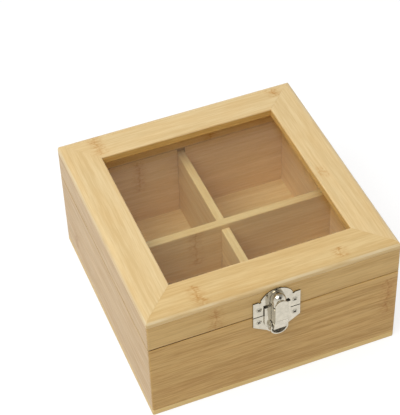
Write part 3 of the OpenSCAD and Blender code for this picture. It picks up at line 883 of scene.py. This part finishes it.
def studio_floor():
    """A pale floor that looks white, and still takes a faint shadow. It is clear from
    below, so that the box's underside can be seen."""
    bpy.ops.mesh.primitive_plane_add(size=FLOOR_WIDTH)
    floor = bpy.context.object
    floor.name = "studio_floor"
    for vertex in floor.data.vertices:
        vertex.co.z = -FLOOR_GAP
    material, n, output = new_material("pale_floor")

    # Seen, the floor glows but for a faint share that takes the shadow. The box gets its
    # light from a plain pale one.
    glow = n.call("ShaderNodeEmission", 0, {"Color": (1, 1, 1, 1), "Strength": 0.72})
    faint = n.call("ShaderNodeBsdfDiffuse", 0, {"Color": (0.34, 0.34, 0.34, 1)})
    pale = n.call("ShaderNodeBsdfDiffuse", 0, {"Color": (0.66, 0.65, 0.64, 1)})
    white = n.call("ShaderNodeAddShader", 0, {0: glow, 1: faint})
    mixed = n.call("ShaderNodeMixShader", 0, {0: seen_rays(n), 1: pale, 2: white})
    from_below = n.add("ShaderNodeNewGeometry").outputs["Backfacing"]
    clear = n.call("ShaderNodeBsdfTransparent", 0, {"Color": (1, 1, 1, 1)})
    one_sided = n.call("ShaderNodeMixShader", 0, {0: from_below, 1: mixed, 2: clear})
    n.feed(output.inputs["Surface"], one_sided)
    floor.data.materials.append(material)


def studio_world(strength):
    """White surroundings that light the box from all round. Gloss mirrors them as grey
    higher up, with a dark gap over the front."""
    world = bpy.data.worlds.new("white_studio")
    world.use_nodes = True
    world.node_tree.nodes.clear()
    n = Nodes(world.node_tree)
    towards = n.call("ShaderNodeTexCoord", "Generated", {})
    height = n.split(towards)[2]
    ceiling_grey, gap_grey = 0.55, 0.12
    ceiling = n.ramp(height, 0.35, 0.6, 1.0, ceiling_grey)
    gap = n.call("ShaderNodeVectorMath", "Value", {0: towards, 1: DARK_GAP}, operation="DOT_PRODUCT")
    mirrored = n.math("MULTIPLY", ceiling, n.ramp(gap, 0.90, 0.97, 1.0, gap_grey))
    glossy = n.add("ShaderNodeLightPath").outputs["Is Glossy Ray"]
    seen = n.math("ADD", n.math("MULTIPLY", glossy, n.math("SUBTRACT", mirrored, 1.0)), 1.0)
    lit = seen_rays(n)
    power = n.math("ADD", n.math("MULTIPLY", lit, n.math("SUBTRACT", seen, strength)), strength)
    sky = n.call("ShaderNodeBackground", 0, {"Color": (1, 1, 1, 1), "Strength": power})
    n.feed(n.add("ShaderNodeOutputWorld").inputs["Surface"], sky)
    bpy.context.scene.world = world


def soft_lamp(name, place, aim, size, power):
    """A square lamp that points from place to aim."""
    light = bpy.data.lights.new(name, "AREA")
    light.shape = "SQUARE"
    light.size = size
    light.energy = power
    lamp = bpy.data.objects.new(name, light)
    lamp.location = place
    lamp.rotation_euler = (Vector(aim) - Vector(place)).to_track_quat("-Z", "Y").to_euler()
    bpy.context.scene.collection.objects.link(lamp)


def studio_camera(setup):
    """The camera, from its bearing, height angle, roll and distance."""
    data = bpy.data.cameras.new("camera")
    data.lens = setup.lens
    data.clip_end = 20
    camera = bpy.data.objects.new("camera", data)
    bpy.context.scene.collection.objects.link(camera)
    flat = math.cos(setup.elevation)
    away = Vector((math.sin(setup.azimuth) * flat, -math.cos(setup.azimuth) * flat,
                   math.sin(setup.elevation)))
    stand = away.to_track_quat("Z", "Y").to_matrix().to_4x4()
    stand.translation = Vector(setup.target) + away * setup.distance
    camera.matrix_world = stand @ Matrix.Rotation(setup.roll, 4, "Z")
    bpy.context.scene.camera = camera


class TEABOX_OT_studio(bpy.types.Operator):
    """Set up the floor, the white surroundings, the lamp and the camera"""

    bl_idname = "teabox.studio"
    bl_label = "Studio"

    def execute(self, context):
        setup = context.scene.studio_setup
        studio_camera(setup)
        studio_floor()
        studio_world(setup.sky_strength)
        soft_lamp("key_lamp", KEY_PLACE, KEY_AIM, KEY_SIZE, setup.key_power)
        context.scene.view_settings.view_transform = "Standard"
        return {"FINISHED"}


STEPS = ("studio", "walls", "inside", "lid", "pane", "fittings", "screws")


class TEABOX_PT_panel(bpy.types.Panel):
    """Lists the steps in the sidebar"""

    bl_label = "Tea bag box"
    bl_idname = "TEABOX_PT_panel"
    bl_space_type = "VIEW_3D"
    bl_region_type = "UI"
    bl_category = "Tea box"

    def draw(self, context):
        for group in (context.scene.bamboo_look, context.scene.latch_look,
                      context.scene.studio_setup):
            column = self.layout.column(align=True)
            for name in group.__annotations__:
                column.prop(group, name)
        for step in STEPS:
            self.layout.operator("teabox." + step)


PROPERTY_GROUPS = {
    "bamboo_look": BambooLook, "latch_look": LatchLook, "studio_setup": StudioSetup,
}
CLASSES = (
    BambooLook, LatchLook, StudioSetup, TEABOX_OT_walls, TEABOX_OT_inside, TEABOX_OT_lid,
    TEABOX_OT_pane, TEABOX_OT_fittings, TEABOX_OT_screws, TEABOX_OT_studio, TEABOX_PT_panel,
)


def register():
    for cls in CLASSES:
        bpy.utils.register_class(cls)
    for name, group in PROPERTY_GROUPS.items():
        setattr(bpy.types.Scene, name, PointerProperty(type=group))


def unregister():
    for name in PROPERTY_GROUPS:
        delattr(bpy.types.Scene, name)
    for cls in reversed(CLASSES):
        bpy.utils.unregister_class(cls)


def main():
    register()
    for step in STEPS:
        getattr(bpy.ops.teabox, step)()


if __name__ == "__main__":
    main()
